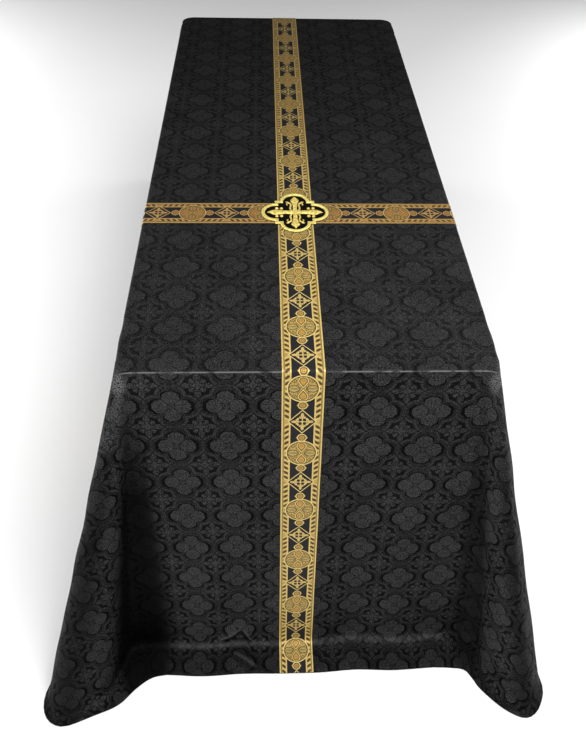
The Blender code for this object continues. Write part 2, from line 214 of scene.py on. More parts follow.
def corner_lines(rows, side_x, side_y):
    """Fall lines of a corner with the way each takes in the flat cloth."""
    arc = CORNER_RADIUS
    points = smooth_rows(rows, CORNER_STEPS)
    lines = []
    ways = []
    for k, (foot_a, foot_b, hem_a, hem_b) in enumerate(points):
        row = k / CORNER_STEPS
        turn = math.radians(90.0) * min(1.0, row / ROUND_ROWS)
        beyond = SIDE_ROW_STEP * max(0.0, row - ROUND_ROWS)
        top = (-arc + arc * math.sin(turn), -arc + arc * math.cos(turn) - beyond)
        way = np.array([foot_a - top[0], foot_b - top[1], -CLOTH_TOP])
        ways.append(way / np.linalg.norm(way))
        lines.append([top, (math.sin(turn), math.cos(turn)),
                      (foot_a, foot_b), (hem_a, hem_b)])
    # the angles between fall lines add up to the flat cloth's own
    turned = [0.0]
    for one, two in zip(ways, ways[1:]):
        turned.append(turned[-1] + math.acos(min(1.0, float(one @ two))))
    last = SIDE_END
    drop = math.hypot(CLOTH_TOP, last[2])
    whole = math.pi / 2.0 + math.atan2(last[0] - last[1], drop)
    shown = SHOWN_ROWS * CORNER_STEPS
    rest = (whole - turned[shown]) / (turned[-1] - turned[shown])
    out = []
    for k, (top, normal, foot, hem) in enumerate(lines):
        angle = turned[k]
        if k > shown:
            angle = turned[shown] + (turned[k] - turned[shown]) * rest
        flat = (side_x * math.sin(angle), side_y * math.cos(angle))
        spots = [(side_x * (HALF_WIDTH + a), side_y * (HALF_LENGTH + b))
                 for a, b in (top, foot, hem)]
        out.append((spots[0], (side_x * normal[0], side_y * normal[1]),
                    spots[1], spots[2], flat))
    return out


def run_lines(rows, end, spacing):
    """Fall lines of a straight run, close together, and where its rows are."""
    rows = np.array(rows, float)
    at = rows[:, 0]
    slope = np.gradient(rows, at, axis=0)
    lines = []
    marks = []
    places = []
    for k in range(len(rows) - 1):
        marks.append(len(places))
        wide = at[k + 1] - at[k]
        steps = max(1, math.ceil(wide / spacing))
        for step in range(steps):
            u = step / steps
            places.append(
                (2 * u ** 3 - 3 * u ** 2 + 1) * rows[k]
                + (u ** 3 - 2 * u ** 2 + u) * wide * slope[k]
                + (3 * u ** 2 - 2 * u ** 3) * rows[k + 1]
                + (u ** 3 - u ** 2) * wide * slope[k + 1])
    marks.append(len(places))
    places.append(rows[-1])
    sign = -1.0 if end in ("front", "left") else 1.0
    along = end in ("front", "back")
    edge = HALF_LENGTH if along else HALF_WIDTH
    for top_at, foot_at, foot_out, hem_out in places:
        drop = math.hypot(CLOTH_TOP, foot_out)
        lean = math.hypot(foot_at - top_at, drop)
        side = (foot_at - top_at) / lean
        spots = [(top_at, edge), (foot_at, edge + foot_out),
                 (foot_at, edge + hem_out)]
        if along:
            spots = [(a, sign * b) for a, b in spots]
            lines.append((spots[0], (0.0, sign), spots[1], spots[2],
                          (side, sign * drop / lean)))
        else:
            spots = [(sign * b, a) for a, b in spots]
            lines.append((spots[0], (sign, 0.0), spots[1], spots[2],
                          (sign * drop / lean, side)))
    return lines, marks


def all_lines():
    """Every fall line once round, and the column of each band edge."""
    front, front_marks = run_lines(FRONT_RUN, "front", FRONT_SPACING)
    right, right_marks = run_lines(RIGHT_RUN, "right", RUN_SPACING)
    back, back_marks = run_lines(BACK_RUN, "back", RUN_SPACING)
    left, left_marks = run_lines(LEFT_RUN, "left", RUN_SPACING)
    marks = {"front": tuple(front_marks[3:5])}
    lines = front[:-1]
    lines += corner_lines(FRONT_RIGHT, 1, -1)[:-1]
    marks["right"] = tuple(len(lines) + right_marks[k] for k in (3, 4))
    lines += right[:-1]
    lines += corner_lines(BACK, 1, 1)[::-1][:-1]
    last = len(lines) + len(back) - 1
    marks["back"] = tuple(last - back_marks[k] for k in (3, 2))
    lines += back[::-1][:-1]
    lines += corner_lines(BACK, -1, 1)[:-1]
    last = len(lines) + len(left) - 1
    marks["left"] = tuple(last - left_marks[k] for k in (4, 3))
    lines += left[::-1][:-1]
    lines += corner_lines(FRONT_LEFT, -1, -1)[::-1][:-1]
    return lines, marks


def bent(first, middle, last, rows):
    """Points on the bend from first to last that turns at the middle."""
    out = []
    for k in range(1, rows):
        u = k / rows
        out.append((1 - u) ** 2 * first + 2 * u * (1 - u) * middle + u * u * last)
    return out


def fall_path(line):
    """One fall line of the cloth's face, with its places in the flat cloth."""
    top, normal, foot, hem, flat_way = line
    edge = np.array([*top, CLOTH_TOP])
    foot = np.array([*foot, FLOOR_LIFT])
    hem = np.array([*hem, FLOOR_LIFT])
    down = (foot - edge) / np.linalg.norm(foot - edge)
    start = edge - EDGE_BEND * np.array([*normal, 0.0])
    below = edge + EDGE_BEND * down
    lying = hem - foot
    length = np.linalg.norm(lying)
    reach = min(FLOOR_BEND, BEND_SHARE * length)
    lift = foot - FLOOR_BEND * down
    settle = foot + lying * (reach / length)
    path = [start] + bent(start, edge, below, EDGE_ROWS) + [below]
    for step in range(1, HANG_ROWS + 1):
        share = 1.0 - (1.0 - step / HANG_ROWS) ** HANG_POWER
        path.append(below + (lift - below) * share)
    path += bent(lift, foot, settle, BEND_ROWS) + [settle]
    for step in range(1, LYING_ROWS + 1):
        path.append(settle + (hem - settle) * (step / LYING_ROWS))
    path = np.array(path)
    gone = np.concatenate(
        [[0.0], np.cumsum(np.linalg.norm(np.diff(path, axis=0), axis=1))])
    way = np.array(flat_way)
    flat = []
    for s in gone:
        if s < EDGE_BEND:
            flat.append(start[:2] + (edge - start)[:2] * (s / EDGE_BEND))
        else:
            flat.append(edge[:2] + way * (s - EDGE_BEND))
    return path, np.array(flat)


def surface_normals(grid):
    """Outward unit normals of the closed ring of fall lines, up at its top."""
    along = np.roll(grid, -1, axis=0) - np.roll(grid, 1, axis=0)
    normals = np.cross(np.gradient(grid, axis=1), along)
    normals /= np.maximum(np.linalg.norm(normals, axis=2, keepdims=True), TINY)
    normals[:, 0] = (0.0, 0.0, 1.0)
    return normals


def crease_height(flat):
    """How far the small creases lift the cloth at its flat places."""
    total = np.zeros(flat.shape[:-1])
    for across, along, length, width, height, turn in CREASES:
        c, s = math.cos(math.radians(turn)), math.sin(math.radians(turn))
        x, y = flat[..., 0] - across, flat[..., 1] - along
        u, v = (x * c + y * s) / length, (y * c - x * s) / width
        total += height * np.exp(-u * u - v * v)
    return total


def ripple_height(flat):
    """How far the low waves lift the cloth at its flat places."""
    total = np.zeros(flat.shape[:-1])
    for axis, (height, waves, sway, sway_waves) in enumerate(RIPPLES):
        bend = sway * np.sin(flat[..., 1 - axis] * sway_waves)
        total += height * np.sin(flat[..., axis] * waves + bend)
    return total


def creased(grid, flat):
    """The cloth in its place, with its creases and waves."""
    drop = np.clip((CLOTH_TOP - grid[..., 2]) / RIPPLE_DROP, 0.0, 1.0)
    raised = (crease_height(flat) + ripple_height(flat) * drop) * drop
    # nothing is pushed down into the floor
    settled = np.maximum(raised * np.clip(grid[..., 2] / NEAR_FLOOR, 0.0, 1.0),
                         raised * (raised > 0))
    raised = np.where(grid[..., 2] < NEAR_FLOOR, settled, raised)
    grid = grid + surface_normals(grid) * raised[..., None]
    grid[..., 2] = np.maximum(grid[..., 2], FLOOR_LIFT)
    grid[..., 1] += SHIFT_Y
    return grid


lines, marks = all_lines()
fall_paths = [fall_path(line) for line in lines]
flat = np.array([places for _, places in fall_paths])
grid = creased(np.array([points for points, _ in fall_paths]), flat)
normals = surface_normals(grid)


def mesh_piece(name, verts, faces, uvs, material):
    """A smooth mesh with its flat places as UV, riding on the frame."""
    mesh = bpy.data.meshes.new(name)
    mesh.from_pydata([tuple(v) for v in verts], [], faces)
    layer = mesh.uv_layers.new(name="UVMap")
    index = np.empty(len(mesh.loops), dtype=int)
    mesh.loops.foreach_get("vertex_index", index)
    layer.data.foreach_set("uv", np.asarray(uvs)[index].ravel())
    mesh.shade_smooth()
    mesh.materials.append(material)
    obj = bpy.data.objects.new(name, mesh)
    bpy.context.scene.collection.objects.link(obj)
    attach(obj, "root")
    return obj


# Materials


class Value:
    """A number in a node tree, combined with the usual signs."""

    def __init__(self, tree, socket):
        self.tree = tree
        self.socket = socket

    def node(self, operation, *others):
        node = self.tree.nodes.new("ShaderNodeMath")
        node.operation = operation
        for k, item in enumerate((self,) + others):
            if isinstance(item, Value):
                self.tree.links.new(item.socket, node.inputs[k])
            else:
                node.inputs[k].default_value = float(item)
        return Value(self.tree, node.outputs[0])

    def __add__(self, other):
        return self.node("ADD", other)

    def __sub__(self, other):
        return self.node("SUBTRACT", other)

    def __mul__(self, other):
        return self.node("MULTIPLY", other)

    def __truediv__(self, other):
        return self.node("DIVIDE", other)

    def abs(self):
        return self.node("ABSOLUTE")

    def sin(self):
        return self.node("SINE")

    def fold(self, half):
        return self.node("PINGPONG", half)

    def max(self, other):
        return self.node("MAXIMUM", other)

    def min(self, other):
        return self.node("MINIMUM", other)

    def angle(self, other):
        return self.node("ARCTAN2", other)

    def flip(self):
        return self * -1.0 + 1.0

    def below(self, edge, soft):
        """One under the edge, falling to nothing over the soft width."""
        node = self.tree.nodes.new("ShaderNodeMapRange")
        node.interpolation_type = "SMOOTHSTEP"
        self.tree.links.new(self.socket, node.inputs["Value"])
        for name, value in (("From Min", edge), ("From Max", edge + soft),
                            ("To Min", 1.0), ("To Max", 0.0)):
            node.inputs[name].default_value = value
        return Value(self.tree, node.outputs["Result"])

    def line(self, at, half, soft):
        """One on the line at a value, of that half width."""
        return (self - at).abs().below(half, soft)


def away(a, b):
    """Distance of the point a, b from nothing."""
    return (a * a + b * b).node("SQRT")


def new_material(name):
    material = bpy.data.materials.new(name)
    material.use_nodes = True
    tree = material.node_tree
    return material, tree, tree.nodes["Principled BSDF"]


def uv_values(tree):
    uv = tree.nodes.new("ShaderNodeUVMap")
    split = tree.nodes.new("ShaderNodeSeparateXYZ")
    tree.links.new(uv.outputs["UV"], split.inputs[0])
    return (Value(tree, split.outputs[0]), Value(tree, split.outputs[1]),
            uv.outputs["UV"])


def mixed(tree, first, second, share):
    """Colour between two, each a colour or a socket."""
    node = tree.nodes.new("ShaderNodeMix")
    node.data_type = "RGBA"
    for item, slot in ((first, node.inputs[6]), (second, node.inputs[7])):
        if isinstance(item, tuple):
            slot.default_value = (*item, 1.0)
        else:
            tree.links.new(item, slot)
    tree.links.new(share.socket, node.inputs[0])
    return node.outputs[2]


def any_of(*shares):
    """The greatest of several shares."""
    whole = shares[0]
    for share in shares[1:]:
        whole = whole.max(share)
    return whole


def noise(tree, coords, scale, detail, stretch=(1.0, 1.0, 1.0)):
    mapping = tree.nodes.new("ShaderNodeMapping")
    mapping.inputs["Scale"].default_value = stretch
    tree.links.new(coords, mapping.inputs["Vector"])
    node = tree.nodes.new("ShaderNodeTexNoise")
    node.inputs["Scale"].default_value = scale
    node.inputs["Detail"].default_value = detail
    tree.links.new(mapping.outputs["Vector"], node.inputs["Vector"])
    return Value(tree, node.outputs[0])


def object_noise(tree, scale, detail, stretch=(1.0, 1.0, 1.0)):
    coords = tree.nodes.new("ShaderNodeTexCoord")
    return noise(tree, coords.outputs["Object"], scale, detail, stretch)


def paint(tree, shader, colour):
    tree.links.new(colour, shader.inputs["Base Color"])


def bump(tree, shader, height, distance, strength):
    node = tree.nodes.new("ShaderNodeBump")
    node.inputs["Distance"].default_value = distance
    node.inputs["Strength"].default_value = strength
    tree.links.new(height.socket, node.inputs["Height"])
    tree.links.new(node.outputs["Normal"], shader.inputs["Normal"])


# The damask's repeat, and where one medallion's middle lies in the flat cloth,
# counted from the long band.
DAMASK_ACROSS = 0.109
DAMASK_ALONG = 0.1035
DAMASK_FIRST = 0.045
DAMASK_RIGHT_Y = -1.014
DAMASK_LEFT_LEAD = 0.018
# The cloth draws in a little towards the floor.
DRAWN_FROM = HALF_LENGTH + 0.08
DRAWN_OVER = 0.40
DRAWN_SHARE = 0.065
# The medallion's petals and the linked frames round it.
PETAL_AT = 0.0232
PETAL_RADIUS = 0.0175
PETAL_LONG = 0.0168
PETAL_WIDE = 0.0182
PETAL_SCALLOPS = 9.0
PETAL_VEINS = 24.0
FRAME_AT = 0.0285
FRAME_RADIUS = 0.0325
FRAME_STEP = 0.0035
FRAME_DOTS = 40.0
# A woven figure ends over this width.
SOFT = 0.0007
HARD_STEP = 0.0001
# The small holes of the leafy cross.
# along_arm, off_arm, radius
LEAF_HOLES = [(0.0098, 0.0040, 0.0016), (0.0140, 0.0070, 0.0016),
              (0.0060, 0.0052, 0.0010), (0.0200, 0.0080, 0.0018)]
DAMASK_BLACK = (0.0013, 0.0013, 0.0015)
DAMASK_PALE = (0.0480, 0.0474, 0.0490)
BRIGHTEST_TONE = 1.3
# The pale colour of the painted highlights.
HIGHLIGHT_PALE = (0.190, 0.188, 0.184)
# The black of the painted shade and painted shadow.
SHADE_BLACK = (0.0009, 0.0009, 0.0010)
# Where the painted highlights lie in the flat cloth.
FLOOR_FOLD_Y = -1.772
LIT_CORNER = (0.378, -0.938)
HEM_TIP = (0.672, -1.800)
# The near corners' folds fan out from this place in the flat cloth.
FAN_X = 0.345
FAN_Y = -0.880
# Where painted shadow darkens the fan's deep folds, and by how much at either side.
# angle, half, soft, left, right
SHADED_FOLDS = [
    (0.090, 0.070, 0.090, 0.93, 0.00),
    (0.120, 0.025, 0.070, 0.00, 0.68),
    (0.385, 0.020, 0.050, 0.00, 0.50),
    (0.500, 0.120, 0.090, 0.65, 0.10),
]
# The cloth lying on the floor beyond this is painted darker, as shade.
LYING_FROM = 0.862
# The painted shade fades in from here down over this length.
SHADE_FROM = 0.950
SHADE_OVER = 0.30
# The buckles near the floor line get painted highlights along their crests and painted
# shadow beside them.
# across, along, length, turn
BUCKLES = [
    (-0.1800, -1.7370, 0.030, 36.0),
    (-0.1330, -1.7440, 0.028, -60.0),
    (-0.1415, -1.8145, 0.032, -34.0),
]


def medallion(m, n, level_side):
    """Black lines and pale parts of a medallion: m along an arm, n off it."""
    around = n.angle(m - PETAL_AT)
    petal = away((m - PETAL_AT) / PETAL_LONG, n / PETAL_WIDE) * PETAL_RADIUS
    petal = petal + (around * PETAL_SCALLOPS).node("COSINE") * 0.0006
    # a black crescent lies outside each petal, broadest at the level ones' ends
    outward = ((m - PETAL_AT) / petal.max(0.001)).max(0.0)
    sideways = outward * (outward * outward * -1.0 + 1.0) * 0.0070 + 0.0008
    width = level_side * (outward * 0.0072 - sideways) + sideways
    width = width * (outward - 0.10).below(-0.1, 0.1).flip()
    inside = petal.below(PETAL_RADIUS - 0.0006, SOFT)
    crescent = (petal - width).below(PETAL_RADIUS, SOFT) * inside.flip()
    outline = petal.line(PETAL_RADIUS, 0.0003, SOFT)
    veins = (n.angle(m - 0.0060) * PETAL_VEINS).sin().below(-0.65, 0.7) * inside
    veins = veins * (m - 0.0360).below(-0.0060, 0.0080) * m.below(0.0150, 0.004).flip()
    eye = petal.line(0.0036, 0.0003, SOFT) * level_side.flip()
    split = (m - n).below(0.0008, SOFT) * m.line(0.0130, 0.0045, 0.0012)
    hub = (m + n).below(0.0085, 0.0012)
    hub_line = (m + n).line(0.0096, 0.0003, SOFT)
    black = any_of(crescent, outline * 0.7, veins * 0.35, eye * 0.6, split * 0.9,
                   hub_line * 0.5)
    return black, (inside * 0.85).max(hub * 0.9)


def linked_frames(m, n):
    """Black lines and pale bands of the frames, and the gaps between them."""
    lines = []
    bands = []
    lobes = []
    middle = FRAME_RADIUS - FRAME_STEP
    for at, facing in ((FRAME_AT, 1.0), (DAMASK_ACROSS - FRAME_AT, -1.0)):
        lobe = away(m - at, n)
        dots = (n.angle((m - at) * facing) * FRAME_DOTS).sin().below(0.0, 0.6)
        lines.append(any_of(
            lobe.line(FRAME_RADIUS, 0.0008, SOFT),
            lobe.line(middle, 0.0006, SOFT) * dots * 0.9,
            lobe.line(middle - FRAME_STEP, 0.0004, SOFT) * 0.8))
        bands.append(lobe.line(middle, 0.0036, SOFT))
        lobes.append(lobe)
    outside = lobes[0].below(0.0235, SOFT).flip()
    gap = lobes[0].min(lobes[1]).below(FRAME_RADIUS + 0.0004, SOFT).flip()
    return lines[0].max(lines[1] * outside), bands[0].max(bands[1] * outside), gap


def leafy_cross(m, n):
    """Black parts and pale leaves of the cross between four frames."""
    leaf = away((m - 0.0200) / 0.0098, n / 0.0068)
    tip = away((m - 0.0270) / 0.0055, n / 0.0026)
    side_leaf = away(m - 0.0112, n - 0.0108)
    flower = any_of(leaf.below(1.0, 0.10), tip.below(1.0, 0.2),
                    side_leaf.below(0.0054, SOFT), (m + n).below(0.0130, SOFT))
    holes = any_of(m.line(0.0150, 0.0005, SOFT) * n.below(0.0050, SOFT),
                   *(away(m - x, n - y).below(radius, SOFT)
                     for x, y, radius in LEAF_HOLES))
    veins = (n.angle(m - 0.0080) * 22.0).sin().below(-0.4, 0.6) * 0.6
    return any_of(holes, flower.flip() * 0.9, veins * leaf.below(0.9, 0.1)), flower


def damask_weave(u, v):
    """How dark and how pale the woven pattern is at a flat place."""
    half = DAMASK_ACROSS / 2.0
    drawn = ((v * -1.0 - DRAWN_FROM) / DRAWN_OVER).max(0.0).min(1.0)
    from_band = u - CROSSING_X
    ax = (from_band.abs() * (drawn * DRAWN_SHARE + 1.0) - DAMASK_FIRST).fold(half)
    lead = from_band.below(0.0, HARD_STEP) * DAMASK_LEFT_LEAD
    ay = (v - lead - DAMASK_RIGHT_Y).fold(DAMASK_ALONG / 2.0) * (
        DAMASK_ACROSS / DAMASK_ALONG)
    m, n = ax.max(ay), ax.min(ay)
    black, petals = medallion(m, n, (ay - ax).below(0.0, 0.0006))
    frame_lines, frame_band, gap = linked_frames(m, n)
    fx, fy = ax * -1.0 + half, ay * -1.0 + half
    cross_black, leaves = leafy_cross(fx.max(fy), fx.min(fy))
    dark = any_of(black, frame_lines * 0.9, cross_black * gap * 0.9)
    pale = any_of(petals, frame_band * 0.90, leaves * gap * 0.85)
    return dark, pale


def painted_highlights_and_shadows(u, v, grain, highlight_breaks, on_left):
    """How much painted highlight lies on the edge crease, corners, floor fold, hem tip
    and fold ridges, and how much painted shadow lies beside the buckles' crests.
    """
    inner = u.abs().below(HALF_WIDTH - 0.010, 0.012)
    # painted highlight along the near edge's crease
    edge_highlight = v.line(-HALF_LENGTH + 0.001, 0.0007, 0.0014) * inner * (
        highlight_breaks.below(0.43, 0.10).flip() * 0.75 + 0.25)
    # painted highlights on the near corners where the cloth turns
    corner = away((u.abs() - LIT_CORNER[0]) / 0.026, (v - LIT_CORNER[1]) / 0.036)
    corner = corner.below(0.25, 0.75) * grain.below(0.38, 0.22).flip()
    # painted highlight along the fold where the cloth meets the floor
    floor_fold = v.line(FLOOR_FOLD_Y, 0.0010, 0.0110) * inner * (
        highlight_breaks.below(0.38, 0.22).flip() * 0.65 + 0.35)
    # painted highlight on the upturned hem tip
    tip = away((u.abs() - HEM_TIP[0]) / 0.024, (v - HEM_TIP[1]) / 0.017)
    tip = tip.below(0.30, 0.80) * grain.below(0.40, 0.20).flip()
    # painted highlights lie along the corner folds' ridges just under the table's edge
    ridge = (u.abs() - FAN_X).angle(v * -1.0 + FAN_Y).line(0.43, 0.05, 0.10)
    ridge = ridge * v.line(-1.015, 0.045, 0.040) * grain.below(0.40, 0.22).flip()
    highlights = [edge_highlight * 0.47, corner * 0.50, floor_fold * 0.135, tip * 0.26,
            ridge * (on_left * 0.07 + 0.07)]
    buckle_shadows = []
    for across, along, length, turn in BUCKLES:
        c, s = math.cos(math.radians(turn)), math.sin(math.radians(turn))
        x, y = u - across, v - along
        run = (x * c + y * s).abs().below(length * 0.8, length * 0.5)
        off = y * c - x * s
        # painted highlight along each buckle's crest, painted shadow beside it
        highlights.append(off.abs().below(0.0016, 0.0052) * run * 0.125)
        buckle_shadows.append(off.line(-0.0105, 0.0030, 0.0075) * run * 0.75)
    return any_of(*highlights), any_of(*buckle_shadows)


def painted_shade(u, v, on_left):
    """How much painted shade darkens the cloth lying on the floor and the deep corner
    folds.
    """
    beyond = (u.abs() - HALF_WIDTH).max(v.abs() - HALF_LENGTH)
    # painted shade on the cloth that lies on the floor
    dark = beyond.below(LYING_FROM, 0.015).flip() * 0.38
    fold_at = (u.abs() - FAN_X).angle(v * -1.0 + FAN_Y)
    # painted shadow in the deep folds beside the corner flares
    for angle, half, soft, left, right in SHADED_FOLDS:
        side = on_left * (left - right) + right
        dark = dark.max(fold_at.line(angle, half, soft) * side)
    return dark * ((v * -1.0 - SHADE_FROM) / SHADE_OVER).max(0.0).min(1.0)


def damask_material():
    """Black on black damask: four-lobed medallions in linked frames."""
    material, tree, shader = new_material("damask")
    u, v, uv = uv_values(tree)
    dark, pale = damask_weave(u, v)
    blotch = noise(tree, uv, 7.0, 3.0)
    cloudy = noise(tree, uv, 90.0, 3.0)
    grain = noise(tree, uv, 320.0, 2.0)
    fine = noise(tree, uv, 700.0, 2.0)
    # noise that breaks up the painted highlights
    highlight_breaks = noise(tree, uv, 34.0, 3.0, (1.0, 0.2, 1.0))
    speck = (fine - 0.5) * 3.2 + (grain - 0.5) * 4.2
    # painted light: the weave's sheen shows less on the flat top than on the falls
    on_top = (u.abs() - HALF_WIDTH).max(v.abs() - HALF_LENGTH).below(-0.004, 0.03)
    dark = dark * (on_top * -0.42 + 1.0)
    pale = pale * (on_top * -0.40 + 1.0) + on_top * 0.10
    # painted shade: the flat top is darker towards its far end
    farther = v.below(-0.80, 1.70).flip() * on_top
    tone = pale * 0.49 + 0.26 + speck * (pale * 0.5 + 0.5) + (
        cloudy - 0.5) * 0.60 + (blotch - 0.5) * 0.55
    tone = tone * (dark * -0.93 + 1.0) * (farther * -0.30 + 1.0)
    colour = mixed(tree, DAMASK_BLACK, DAMASK_PALE,
                   tone.max(0.0).min(BRIGHTEST_TONE) / BRIGHTEST_TONE)
    on_left = u.below(0.0, HARD_STEP)
    highlights, buckle_shadows = painted_highlights_and_shadows(u, v, grain, highlight_breaks, on_left)
    # painted highlights on the edge crease, corners, floor fold, hem tips, fold ridges
    # and buckle crests
    colour = mixed(tree, colour, HIGHLIGHT_PALE, highlights)
    # painted shade on the lying cloth and in the deep corner folds, and painted shadow
    # beside the buckles' crests
    colour = mixed(tree, colour, SHADE_BLACK, painted_shade(u, v, on_left).max(buckle_shadows))
    paint(tree, shader, colour)
    rough = pale * -0.10 + 0.62 + dark * 0.18
    tree.links.new(rough.socket, shader.inputs["Roughness"])
    shader.inputs["Specular IOR Level"].default_value = 0.035
    streaks = (v * 2600.0).sin() * 0.5 + 0.5
    height = dark * -1.0 + pale * 0.3 + streaks * 0.08 + fine * 0.4 + grain * 0.5
    bump(tree, shader, height, 0.0004, 0.6)
    return material


# The galloon's repeat, its slanted stitches and its figures.
GALLOON_REPEAT = 0.1674
STITCH_AT = 0.0318
STITCH_PITCH = GALLOON_REPEAT / 12.0
STITCH_SLANT = 0.60
LOZENGE_WIDE = 0.0292
LOZENGE_LONG = 0.0305
RING_AT = 0.0415
# A heart, and the slant of the sides of its point.
HEART_AT = 0.0190
HEART_COS = 0.811
HEART_SIN = 0.585
PALM_AT = 0.0185
# The dots between a roundel's hearts and leaves.
# across, along, radius
ROUNDEL_DOTS = [(0.0110, 0.0105, 0.0012), (0.0118, 0.0262, 0.0010),
                (0.0245, 0.0125, 0.0010)]
CRISP = 0.0005
WOVEN_BLACK = (0.0075, 0.0075, 0.0090)
# Browner, darker gold of the painted shade towards the band's far end.
FAR_GOLD_SHADE = (0.170, 0.085, 0.018)


def lilies(a, along):
    """Four lilies round a small middle, with a dot in each angle."""
    m, n = a.max(along), a.min(along)
    tip = away((m - 0.0160) / 0.0068, n / 0.0034).below(0.92, 0.14)
    lobe = away((m - 0.0112) / 0.0026, (n - 0.0048) / 0.0023).below(0.9, 0.2)
    bar = m.line(0.0086, 0.0006, CRISP) * n.below(0.0040, CRISP)
    stalk = n.below(0.0010, CRISP) * m.below(0.0120, CRISP)
    hub = (m + n).below(0.0034, CRISP)
    dot = away(a - 0.0089, along - 0.0077).below(0.0019, CRISP)
    return any_of(tip, lobe, bar, stalk, hub), dot


def roundel(a, along):
    """Brown lines, pale parts and warm fills of two hearts and two leaves."""
    back = along * -1.0 + HEART_AT
    pointed = (back * HEART_COS - a * HEART_SIN).below(0.0, HARD_STEP).flip()
    rounded = away(a, along - HEART_AT)
    heart = rounded + (a * HEART_COS + back * HEART_SIN - rounded) * pointed
    eye = away(a, along - 0.0195).line(0.0026, 0.0005, CRISP)
    outlines = any_of(heart.line(0.0075, 0.0007, CRISP),
                      heart.line(0.0113, 0.0004, CRISP) * 0.95, eye * 0.5)
    in_heart = heart.below(0.0116, CRISP)
    scallop = (along.angle(a - PALM_AT) * 14.0).node("COSINE") * 0.06
    palm = away((a - PALM_AT) / 0.0105, along / 0.0076) + scallop
    leaf = palm.below(0.92, 0.10)
    rib = (along.angle((a - 0.0060).max(0.0001)) * 30.0).sin().below(-0.30, 0.5)
    vein = along.below(0.0006, CRISP)
    leaf_lines = any_of(palm.line(1.10, 0.10, 0.08) * 0.9, rib * leaf * 0.75,
                        vein * leaf * 0.9)
    fruit = away(a - 0.0178, along - 0.0192)
    filling = any_of(fruit.line(0.0042, 0.0006, CRISP), fruit.below(0.0013, CRISP),
                     *(away(a - x, along - y).below(radius, CRISP)
                       for x, y, radius in ROUNDEL_DOTS))
    filling = filling * in_heart.max(palm.below(1.25, 0.05)).flip()
    lines = any_of(outlines, leaf_lines * in_heart.flip(), filling * 0.85)
    light = (heart.line(0.0096, 0.0011, CRISP) * 0.6).max(leaf * 0.45)
    return lines, light, heart.below(0.0062, CRISP)


def galloon_material(name, gold, bright, orange, brown):
    """Woven band: roundels and lozenges by turns between slanted stitches."""
    material, tree, shader = new_material(name)
    u, v, uv = uv_values(tree)
    a = u.abs()
    lv = v.fold(GALLOON_REPEAT / 2.0)
    rv = lv * -1.0 + GALLOON_REPEAT / 2.0
    field = a.below(0.0236, CRISP)
    rail = a.line(0.0254, 0.0012, CRISP)
    slanted = (lv - (a - STITCH_AT) * STITCH_SLANT) / STITCH_PITCH
    phase = (slanted + 0.5).node("FRACT") - 0.5
    stitch = away((a - STITCH_AT) / 0.0054, phase / 0.28).below(0.86, 0.16)
    stitch = stitch * lv.below(0.0050, 0.0010).flip()
    between = phase.abs().line(0.5, 0.08, 0.10) * a.line(STITCH_AT, 0.0040, CRISP)
    edge = a.line(0.0412, 0.0010, CRISP)
    groove = a.line(0.0385, 0.0004, CRISP).max(a.line(0.0372, 0.0002, CRISP) * 0.8)
    diamond = a / LOZENGE_WIDE + lv / LOZENGE_LONG
    diamond_in = diamond.below(0.93, 0.03)
    diamond_line = diamond.line(0.98, 0.032, 0.020)
    cross, dot = lilies(a, lv)
    round_at = away(a, rv)
    off_disc = round_at.below(0.0330, CRISP).flip()
    disc_line = round_at.line(0.0318, 0.0009, CRISP)
    disc_shade = round_at.line(0.0296, 0.0008, CRISP)
    inside = round_at.below(0.0288, CRISP)
    round_lines, round_light, heart_fill = roundel(a, rv)
    # small ring between each roundel and lozenge
    ring_at = away(a, rv - RING_AT)
    cusp = (a + (rv - RING_AT).abs() * 0.8).below(0.0122, CRISP) * (
        rv.line(RING_AT, 0.0016, 0.0010))
    ring = ring_at.below(0.0100, CRISP).max(cusp)
    ring_lines = (ring_at.line(0.0066, 0.0009, CRISP) * 0.9).max(
        ring_at.line(0.0024, 0.0005, CRISP) * 0.7)
    ring_rim = ring_at.line(0.0090, 0.0008, CRISP)
    free = diamond.below(1.0, 0.02).flip() * off_disc * ring.flip()
    dark = (field * free).max(diamond_in * cross.max(dot).flip())
    shade = any_of(stitch * off_disc * diamond.below(1.02, 0.02).flip(),
                   disc_shade * 0.95, round_lines * inside, ring_lines * ring,
                   groove * 0.6) * dark.flip()
    light = any_of(edge * 0.6, rail * 0.55 * off_disc, diamond_line * 0.8,
                   disc_line * 0.8, between * 0.5 * off_disc, round_light * inside,
                   ring_rim * ring * 0.6, cross * 0.35 * diamond_in,
                   dot * 0.7 * diamond_in)
    dark = (dark - diamond_line * 1.2 - disc_line * 0.8).max(0.0)
    shade = (shade - diamond_line * 1.2 - disc_line * 0.6).max(0.0)
    warm = (heart_fill * inside).max(ring_at.below(0.0058, CRISP) * 0.7)
    weave = (v * 4200.0).sin() * 0.5 + 0.5
    fine = noise(tree, uv, 900.0, 2.0)
    flecks = noise(tree, uv, 420.0, 2.0, (1.0, 0.35, 1.0))
    # painted shade: towards the far end the gold is browner and darker
    farther = v.below(0.05, 0.50).flip()
    colour = mixed(tree, gold, bright, ((fine - 0.42) * 1.3).max(0.0))
    for other, share in ((brown, flecks.below(0.38, 0.12) * 0.45),
                         (orange, warm * 0.6), (bright, light * 0.85),
                         (brown, shade), (FAR_GOLD_SHADE, farther * 0.28),
                         (WOVEN_BLACK, dark)):
        colour = mixed(tree, colour, other, share)
    paint(tree, shader, colour)
    tree.links.new((dark.max(shade) * -0.30 + 0.30).socket, shader.inputs["Metallic"])
    tree.links.new((dark * 0.20 + 0.48).socket, shader.inputs["Roughness"])
    shader.inputs["Specular IOR Level"].default_value = 0.22
    height = dark * -1.0 + shade * -0.6 + light * 0.4 + weave * 0.25 + fine * 0.5
    bump(tree, shader, height, 0.0004, 0.6)
    return material


